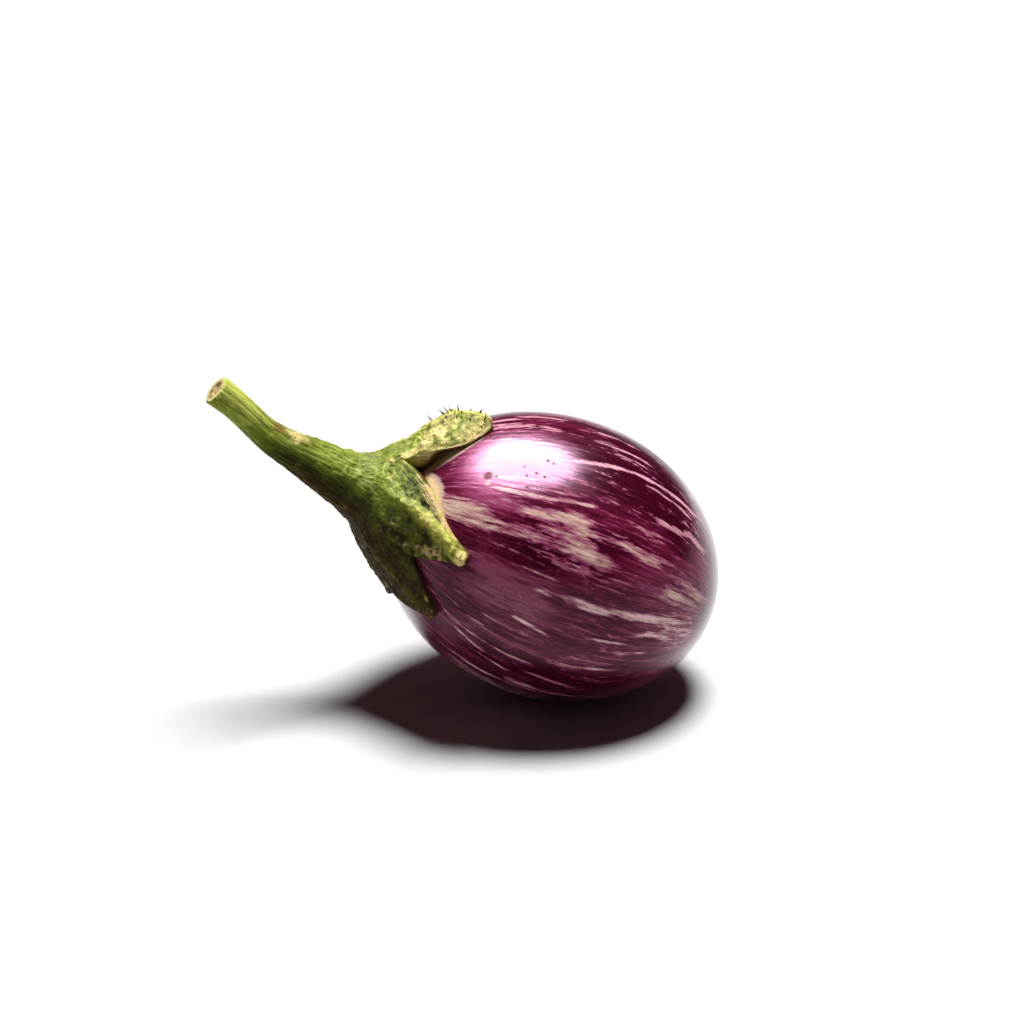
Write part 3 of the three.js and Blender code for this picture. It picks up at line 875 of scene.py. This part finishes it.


# ---- Calyx and stem ----

# painted shade: the green is painted darker where calyx and stem meet
ROOT_CREST = 0.3  # how much darker the green is where calyx and stem meet
PRICKLES = 22
PRICKLE_SIDES = 6
PRICKLE_COLUMNS = (0.4, 0.78)  # where on the lifted lobe they stand, across it and along it
PRICKLE_ROWS = (0.72, 0.985)
PRICKLE_LENGTHS = (1, 2.2)
PRICKLE_FOOT = 0.22
PRICKLE_POINT = 0.03
PRICKLE_SINK = 0.3
PRICKLE_BEND = 0.4


def make_calyx(material):
    columns = len(LOBES) * LOBE_COLUMNS
    bm = sheet_of(columns, POLE_ROWS + OUTER_ROWS + RIM_ROWS + INNER_ROWS)
    layers = mask_layers(bm, "edge", "inner", "dry", "olive", "deep", "keel", "warts")
    lobe_columns = [lobe_column(number % columns, LOBE_COLUMNS) for number in range(columns + 1)]
    for vertex in bm.verts:
        column = lobe_columns[int(vertex.co.x)]
        row = int(vertex.co.y) - POLE_ROWS
        way = clamp(row / OUTER_ROWS)
        round_rim = clamp((row - OUTER_ROWS) / RIM_ROWS)
        if row <= OUTER_ROWS:
            point = upper_face(column, way)
            point.radius *= 1 + min(row, 0) / POLE_ROWS
        elif row <= OUTER_ROWS + RIM_ROWS:
            point = rim_face(column, round_rim)
        else:
            point = lower_face(column, 1 - (row - OUTER_ROWS - RIM_ROWS) / INNER_ROWS)
        place = (point.radius, point.beyond, radians(point.angle))
        settle(vertex, layers, calyx_masks(column, way, round_rim, point), point.along, place)
    close_up(bm)
    finished("calyx_cap", bm, material, "calyx_flesh", "calyx")


# What most of the calyx has of each look; the front and the lifted lobe have their own.
PLAIN_SHARES = dict(wall=0, flesh=0, below_keel=0, beside_keel=0, by_notch=0, dry=0, bright=0,
                    keel=0.25)
FLESH_REACH = 43  # colatitude round which the front lobe's lower edge shows bare flesh
FLESH_LENGTH = 5
DRY_AT = 0.7  # where along the lifted lobe its dry patch lies, and how long it is
DRY_LENGTH = 0.17


def front_shares(column, way, across, inward):
    """Shares on the front lobe, whose upper side turns its thick edge to the light."""
    upper_side = smooth(-0.1, 0.2, across)
    flesh = smooth(0.78, 0.9, way) * exp(-(((column.edge - FLESH_REACH) / FLESH_LENGTH) ** 2))
    near_tip = smooth(0.93, 0.99, column.edge / column.lobe.reach)
    return dict(
        wall=upper_side * smooth(0.34, 0.52, inward) * (1 - smooth(0.62, 0.9, inward)),
        flesh=0.75 * flesh if across < 0 else 0,
        # below_keel and beside_keel feed painted shade: darker below the keel, where the lobe faces
        # down, and on the upper side beside the keel
        below_keel=(smooth(0.02, -0.12, across) * smooth(0.25, 0.5, way)
                    * (1 - 0.7 * smooth(0.88, 1, way))),
        beside_keel=upper_side * smooth(0.04, 0.2, across) * smooth(0.3, 0.5, way),
        by_notch=smooth(0.3, 0.14, inward) if across > 0 else 0,
        dry=0.8 * near_tip * smooth(0.9, 1, way),
        keel=smooth(0.4, 0.68, way))


def lifted_shares(way, across, inward):
    """Shares on the lifted lobe, which is brighter and dries out towards its edge."""
    patch = exp(-(((way - DRY_AT) / DRY_LENGTH) ** 2))
    patch *= 0.65 + 0.35 * smooth(0.2, -0.3, across)
    return dict(
        by_notch=smooth(0.3, 0.14, inward) if -1 < across < 0 else 0,
        dry=max(patch, 0.72 * smooth(0.75, 0.92, way)),
        bright=0.4 * smooth(0.4, 0.7, way))


def calyx_masks(column, way, round_rim, point):
    """Shares of the colours at a point."""
    across = column.across
    inward = 1 - abs(across)
    own = dict(PLAIN_SHARES)
    if column.number == FRONT_LOBE:
        own.update(front_shares(column, way, across, inward))
    if column.number == LIFTED_LOBE:
        own.update(lifted_shares(way, across, inward))
    own = Record(**own)
    thin_line = smooth(0.975, 1, way) * (1 - smooth(0.1, 0.4, round_rim))
    edge = lerp(thin_line * column.lobe.pale_edge, smooth(0.72, 0.95, way), own.wall)
    turned_in = smooth(0.25 + 0.2 * own.by_notch, 0.5 + 0.25 * own.by_notch, round_rim)
    # painted shading: the green is darkened as painted shade on the underside and flanks, below the
    # keel, beside it and towards the neck, and lightened as painted light on the lifted lobe
    deep = max(painted_shading_share(point.angle), 0.55 * own.below_keel, 0.3 * own.beside_keel)
    return dict(
        edge=max(edge, own.flesh),
        # painted shade: the underside of the lobes and the turned-in half of their rim are painted dark
        # brown
        inner=turned_in * (1 - own.wall),
        dry=own.dry,
        # painted shade: the green turns dull and dark on the underside and below the keel
        olive=max(underside_shade_share(point.angle), 0.45 * own.below_keel),
        deep=deep - own.bright + ROOT_CREST * smooth(0.4, 0.05, way),
        keel=point.keel * own.keel,
        warts=lobe_roughness(column, way) / FULL_ROUGHNESS)


def underside_shade_share(angle):
    """Painted shade: the green turns a dull dark brownish green towards the underside."""
    return smooth(0.72, 0.96, 0.5 + 0.5 * cos(radians(angle - 30)))


def painted_shading_share(angle):
    """Painted shade: the green is darker on the underside and the flanks; painted light makes it a
    little lighter on top.
    """
    under = 0.5 + 0.5 * cos(radians(angle - 20))
    return smooth(0.44, 0.74, under) - 0.3 * smooth(0.44, 0.15, under)


def make_prickles(material):
    """Short bent prickles near the tip and along the upper edge of the lifted lobe."""
    bm = bmesh.new()
    draw = random.Random(9)
    for number in range(PRICKLES):
        column = lobe_column((LIFTED_LOBE + draw.uniform(*PRICKLE_COLUMNS)) * LOBE_COLUMNS, LOBE_COLUMNS)
        foot, out = prickle_seat(column, draw.uniform(*PRICKLE_ROWS))
        length = draw.uniform(*PRICKLE_LENGTHS) * MM
        lean = Vector((draw.uniform(-1, 1), draw.uniform(-1, 1), draw.uniform(-0.3, 0.6)))
        made = bmesh.ops.create_cone(bm, segments=PRICKLE_SIDES, cap_ends=True,
                                     radius1=PRICKLE_FOOT * MM, radius2=PRICKLE_POINT * MM, depth=1)
        turned = out.to_track_quat("Z", "Y").to_matrix()
        for vertex in made["verts"]:
            rise = vertex.co.z + 0.5
            spot = turned @ Vector((vertex.co.x, vertex.co.y, 0))
            height = rise * length - PRICKLE_SINK * MM
            vertex.co = foot + spot + out * height + lean * (rise ** 2 * length * PRICKLE_BEND)
    finished("calyx_prickles", bm, material, "calyx_flesh")


def on_calyx(column, way):
    point = upper_face(column, way)
    return to_row(bent(point.radius, point.beyond, radians(point.angle)))


def prickle_seat(column, way):
    """Where a prickle stands on the upper face, and the way it points."""
    foot = on_calyx(column, way)
    along = on_calyx(column, way - 0.02) - foot
    out = along.cross(Vector((0, 1, 0))).normalized()
    if out.dot(foot - FRUIT_CENTRE) < 0:
        out.negate()
    return foot, out


CUT_HOLLOW = 0.55
CUT_RAGGED = 0.22
CUT_ROUNDING = 0.35
BARE_SIDE = -0.2  # what the cut mask says on the stem's side
STEM_ROUGHNESS = 0.4
STEM_RELIEF = 1.5
# Dry patches on the stem: distance beyond the pole, angle and length.
PALE_PATCH = (31.5, 165, 3.6)
RUST_SPOT = (37, 166, 1.9)
PATCH_SPREAD = 30


def make_stem(material):
    bm = sheet_of(STEM_COLUMNS, POLE_ROWS + STEM_ROWS + CUT_ROWS)
    layers = mask_layers(bm, "cut", "olive", "deep", "dry", "rust")
    start = over_skin(radians(NECK_ANGLE), NECK_HEIGHT)[1]
    for vertex in bm.verts:
        turn = 2 * pi * vertex.co.x / STEM_COLUMNS
        angle = degrees(turn)
        row = int(vertex.co.y) - POLE_ROWS
        beyond = lerp(start, STEM_END, clamp(row / STEM_ROWS))
        radius = stem_side(angle, beyond, start)
        share = 1 if row >= 0 else 1 + row / POLE_ROWS
        cut = BARE_SIDE
        if row > STEM_ROWS:
            share = 1 - (row - STEM_ROWS) / CUT_ROWS
            cut = 1 - share
            beyond = cut_face(share, turn)
        settle(vertex, layers, stem_masks(angle, beyond, cut), beyond, (radius * share, beyond, turn))
    close_up(bm)
    finished("cut_stem", bm, material, "stem_bark", "stem")


def stem_side(angle, beyond, start):
    """Radius of the stem's side, where the ribs and warts of the calyx run out."""
    onto_stem = smooth(start, RIB_END, beyond)
    scale = lerp(NECK_RADIUS / stem_radius(start), 1, onto_stem)
    radius = stem_radius(beyond) * scale + ribs(angle) * (1 - onto_stem)
    rough = lerp(ROOT_ROUGHNESS, STEM_ROUGHNESS, smooth(start, 30, beyond))
    relief = flesh_relief(angle, beyond, max(radius, NECK_RADIUS * 0.75), rough)
    radius += STEM_RELIEF * relief * (1 - 0.55 * smooth(20, 50, beyond))
    return radius - CUT_ROUNDING * smooth(STEM_END - 0.5, STEM_END, beyond) ** 2


def cut_face(share, turn):
    """How far out the cut lies, at a share of its radius: a little hollow and ragged."""
    hollow = CUT_HOLLOW * exp(-((share / 0.5) ** 4))
    ragged = noise.noise(Vector((share * 3 * cos(turn), share * 3 * sin(turn), 3)))
    return STEM_END - hollow + CUT_RAGGED * ragged * smooth(1, 0.8, share)


def stem_masks(angle, beyond, cut):
    outer = smooth(22, 42, beyond)
    # painted shade near the root, where calyx and stem meet, turning to painted light farther out
    # towards the cut
    crest = ROOT_CREST + 0.2 * smooth(22, 28, beyond) - 1.2 * smooth(33, 46, beyond)
    return dict(
        cut=cut,
        # painted shade: dull and dark on the underside, less of it out towards the cut
        olive=underside_shade_share(angle) * (1 - 0.9 * outer),
        deep=painted_shading_share(angle) * (1 - 0.55 * outer) + crest,
        dry=patch_share(beyond, angle, *PALE_PATCH),
        rust=patch_share(beyond, angle, *RUST_SPOT))


def patch_share(beyond, angle, middle, side, length):
    """A soft patch on the stem, as long as given in millimetres."""
    return exp(-(((beyond - middle) / length) ** 2) - ((angle - side) / PATCH_SPREAD) ** 2)


PALE_LIME = (0.46, 0.5, 0.1)
LIME = (0.165, 0.215, 0.018)
LEAF = (0.09, 0.118, 0.01)
DARK_LEAF = (0.028, 0.033, 0.004)
# OLIVE, OLIVE_PALE and DULL_LEAF are painted shade colours for the underside of calyx and stem; OLIVE is
# also the prickles' own dark tone
OLIVE = (0.014, 0.0075, 0.003)
OLIVE_PALE = (0.07, 0.041, 0.012)
DULL_LEAF = (0.05, 0.055, 0.008)
YELLOW_LIME = (0.36, 0.34, 0.055)
STRAW = (0.6, 0.5, 0.19)
RUST = (0.07, 0.028, 0.01)
RUST_PATCH = (0.2, 0.085, 0.025)
FLESH = (0.5, 0.34, 0.18)
# painted shade for the underside of the lobes
UNDERSIDE_SHADE_BROWN = (0.05, 0.024, 0.008)

GREENS = [(0, DARK_LEAF), (0.28, LEAF), (0.68, LIME), (1, PALE_LIME)]
# painted shade: the dull dark colours laid over the green on the underside
OLIVES = [(0, OLIVE), (1, OLIVE_PALE)]
# The stem's cut, from its edge to its middle.
CUT_RINGS = [
    (0, (0.5, 0.5, 0.14)), (0.2, (0.62, 0.56, 0.24)), (0.36, (0.42, 0.34, 0.12)),
    (0.52, (0.2, 0.13, 0.045)), (0.7, (0.5, 0.38, 0.16)), (1, (0.36, 0.25, 0.11)),
]
GREEN_SOCKETS = (
    ("INPUT", "Vector", "Grain Place"), ("INPUT", "Float", "Olive Dry Deep Keel Warts"),
    ("OUTPUT", "Color", "Colour"), ("OUTPUT", "Float", "Height Roughness"),
)


def green_flesh():
    """Group: the fibrous green of calyx and stem, with painted shade and light in its tone, dull and
    dark below as painted shade, and straw where dry.
    """
    tree = bpy.data.node_groups.new("green_flesh", "ShaderNodeTree")
    for in_out, kind, names in GREEN_SOCKETS:
        for name in names.split():
            tree.interface.new_socket(name, in_out=in_out, socket_type="NodeSocket" + kind)
    nodes = Nodes(tree)
    given = tree.nodes.new("NodeGroupInput").outputs
    result = tree.nodes.new("NodeGroupOutput").inputs
    blotch = nodes.noise(given["Place"], 170, 2, 0.5)
    mottle = nodes.noise(given["Place"], 430, 3, 0.55)
    fleck = nodes.noise(given["Place"], 900)
    fibre = nodes.noise(given["Grain"], 16, 3, 0.65)
    thread = nodes.noise(given["Grain"], 42)
    fibrous = nodes.total((fibre, 0.6), (thread, 0.25), (blotch, 0.15))
    warty = nodes.total((mottle, 0.75), (blotch, 0.25))
    gap = nodes.math("SUBTRACT", warty, fibrous)
    level = nodes.math("ADD", fibrous, nodes.times(gap, given["Warts"]))
    # painted shading darkens the green where its mask is above zero and lightens it where the mask is
    # below zero
    tone = nodes.total((level, 1), (given["Deep"], -0.17))
    green = nodes.ramp(nodes.ranged(tone, 0.28, 0.64, kind="LINEAR"), GREENS)
    # painted shade colour for the underside
    dull = nodes.ramp(nodes.ranged(level, 0.35, 0.65), OLIVES)
    dull = nodes.mix(nodes.ranged(blotch, 0.45, 0.65, 0, 0.25), dull, DULL_LEAF)
    keel = nodes.times(given["Keel"], nodes.ranged(mottle, 0.35, 0.55, 0.4, 1))
    dryness = nodes.total((given["Dry"], 1), (mottle, 1.6), (blotch, 0.8))
    spots = nodes.total((fleck, 1), (given["Dry"], 0.1))
    colour = nodes.blend(
        green, (nodes.times(given["Olive"], 0.95), dull), (nodes.times(keel, 0.85), YELLOW_LIME),
        (nodes.ranged(dryness, 1.45, 2.3), STRAW), (nodes.ranged(spots, 0.66, 0.76, 0, 0.8), RUST))
    nodes.feed(result["Colour"], colour)
    nodes.feed(result["Height"], nodes.total((level, 0.8), (fleck, 0.25)))
    nodes.feed(result["Roughness"], nodes.ranged(fleck, 0.3, 0.7, 0.42, 0.6))
    return tree


def green_material(name, group, **masks):
    """A material with the green flesh group in it."""
    material, nodes, shader = new_material(name, IOR=1.4, Specular_IOR_Level=0.05)
    inputs = {"Grain": nodes.attribute("grain", "Vector"), "Place": nodes.place()}
    for mask in ("Olive", "Dry", "Deep"):
        inputs[mask] = nodes.attribute(mask.lower())
    for mask, value in masks.items():
        inputs[mask] = nodes.attribute(value) if isinstance(value, str) else value
    green = nodes.add("Group", inputs, node_tree=group).outputs
    return material, nodes, shader, green


def calyx_material(group):
    material, nodes, shader, green = green_material("calyx_flesh", group, Keel="keel", Warts="warts")
    tone = nodes.noise(nodes.place(), 350, 2, 0.5)
    edge = nodes.total((nodes.attribute("edge"), 1), (nodes.centred(tone), 2.6))
    crumb = nodes.noise(nodes.place(), 620)
    flesh = nodes.mix(nodes.ranged(crumb, 0.42, 0.62), FLESH, YELLOW_LIME)
    # the dark brown on the underside is painted shade
    colour = nodes.blend(green["Colour"], (nodes.attribute("inner"), UNDERSIDE_SHADE_BROWN),
                         (nodes.ranged(edge, 0.35, 0.85), flesh))
    nodes.surface(shader, colour, green["Roughness"], green["Height"], 0.9, 1)
    return material


def prickle_material():
    material, nodes, shader = new_material("prickle", IOR=1.4, Roughness=0.5)
    tone = nodes.ranged(nodes.noise(nodes.place(), 900), 0.35, 0.65)
    nodes.feed(shader.inputs["Base Color"], nodes.mix(tone, RUST, OLIVE))
    return material


def stem_material(group):
    material, nodes, shader, green = green_material("stem_bark", group, Keel=0, Warts=0.15)
    cut = nodes.attribute("cut")
    uneven = nodes.noise(nodes.place(), 700)
    rings = nodes.ramp(nodes.math("ADD", cut, nodes.times(uneven, 0.16)), CUT_RINGS)
    rust = nodes.times(nodes.attribute("rust"), nodes.ranged(uneven, 0.3, 0.6, 0.5, 0.9))
    colour = nodes.blend(green["Colour"], (rust, RUST_PATCH), (nodes.ranged(cut, -0.05, 0), rings))
    nodes.surface(shader, colour, green["Roughness"], green["Height"], 0.8, 0.9)
    return material


# ---- Studio ----

FLOOR_SIZE = 160
FLOOR_COLOUR = (0.5, 0.5, 0.5, 1)
CAMERA_AZIMUTH = -3
CAMERA_ELEVATION = 25
CAMERA_DISTANCE = 0.7396
CAMERA_LENS = 100
SENSOR_WIDTH = 36
CLIP_END = 200
CENTRE_RIGHT = 0.011  # the fruit's centre lies this far right of the view's middle
CENTRE_BELOW = 0.0119  # and this far below it
SUN_FROM = Vector((0.116, 0.19, 0.972))
SUN_ANGLE = 21
SUN_STRENGTH = 6.9
SKY_COLOUR = (1, 0.55, 0.5, 1)
SKY_STRENGTH = 0.04
BACKDROP_COLOUR = (1, 1, 1, 1)  # what shows beyond the floor
# Soft panels seen only in the gloss, one inside the other so that their edge fades out.
PANEL_DISTANCE = 1.5
PANEL_MIDDLE = Vector((-0.06, 0.19, 0.98))
PANEL_DRIFT = Vector((-0.05, 0.04, -0.02))  # each larger panel lies this much farther back
PANELS = [  # width, depth, brightness and colour of each
    (1.36, 1.36, 58, (1, 1, 1)),
    (1.64, 1.6, 24, (1, 0.7, 0.88)),
    (1.95, 1.85, 3.5, (1, 0.4, 0.7)),
]
PANEL_ROLL = -28  # degrees the panels are turned, to run with the fruit


def make_floor():
    bm = bmesh.new()
    bmesh.ops.create_grid(bm, x_segments=4, y_segments=4, size=FLOOR_SIZE / 2)
    material, _, _ = new_material(
        "floor_white", Base_Color=FLOOR_COLOUR, Roughness=0.9, Specular_IOR_Level=0)
    floor = mesh_object("floor", bm, material)


def make_sun():
    lamp = bpy.data.lights.new("overhead", "SUN")
    lamp.energy = SUN_STRENGTH
    lamp.angle = radians(SUN_ANGLE)
    add_object("overhead", lamp, SUN_FROM.to_track_quat("Z", "Y")).visible_glossy = False


def make_panels():
    roll = Quaternion((0, 0, 1), radians(PANEL_ROLL))
    for number, (width, depth, brightness, colour) in enumerate(PANELS):
        direction = (PANEL_MIDDLE + PANEL_DRIFT * number).normalized()
        panel = bpy.data.lights.new("gloss_panel", "AREA")
        panel.shape = "ELLIPSE"
        panel.size, panel.size_y = width, depth
        panel.energy = brightness * pi ** 2 * width * depth / 4
        panel.color = colour
        turn = direction.to_track_quat("Z", "Y") @ roll
        gloss = add_object("gloss_panel", panel, turn, FRUIT_CENTRE + direction * PANEL_DISTANCE)
        gloss.visible_diffuse = False


def make_world():
    world = bpy.data.worlds.new("studio")
    world.use_nodes = True
    tree = world.node_tree
    nodes = Nodes(tree)
    sky = tree.nodes["Background"]
    nodes.feed(sky.inputs["Color"], SKY_COLOUR)
    nodes.feed(sky.inputs["Strength"], SKY_STRENGTH)
    backdrop = nodes.add("Background", {"Color": BACKDROP_COLOUR})
    seen = nodes.add("LightPath").outputs["Is Camera Ray"]
    both = nodes.add("MixShader", {
        0: seen, 1: sky.outputs["Background"], 2: backdrop.outputs["Background"]})
    nodes.feed(tree.nodes["World Output"].inputs["Surface"], both.outputs["Shader"])
    scene.world = world


def make_camera():
    azimuth = radians(CAMERA_AZIMUTH)
    elevation = radians(CAMERA_ELEVATION)
    back = Vector((
        sin(azimuth) * cos(elevation),
        -cos(azimuth) * cos(elevation),
        sin(elevation),
    ))
    right = Vector((cos(azimuth), sin(azimuth), 0))
    up = back.cross(right)
    aim = FRUIT_CENTRE - right * CENTRE_RIGHT + up * CENTRE_BELOW
    data = bpy.data.cameras.new("camera")
    data.lens = CAMERA_LENS
    data.sensor_width = SENSOR_WIDTH
    data.clip_end = CLIP_END
    place = FRUIT_CENTRE + back * CAMERA_DISTANCE
    camera = add_object("camera", data, (aim - place).to_track_quat("-Z", "Y"), place)
    scene.camera = camera


make_camera()
make_sun()
make_panels()
make_world()
make_floor()
make_fruit(fruit_material())
green_group = green_flesh()
make_calyx(calyx_material(green_group))
make_prickles(prickle_material())
make_stem(stem_material(green_group))

scene.view_settings.view_transform = "Standard"
bpy.context.view_layer.update()
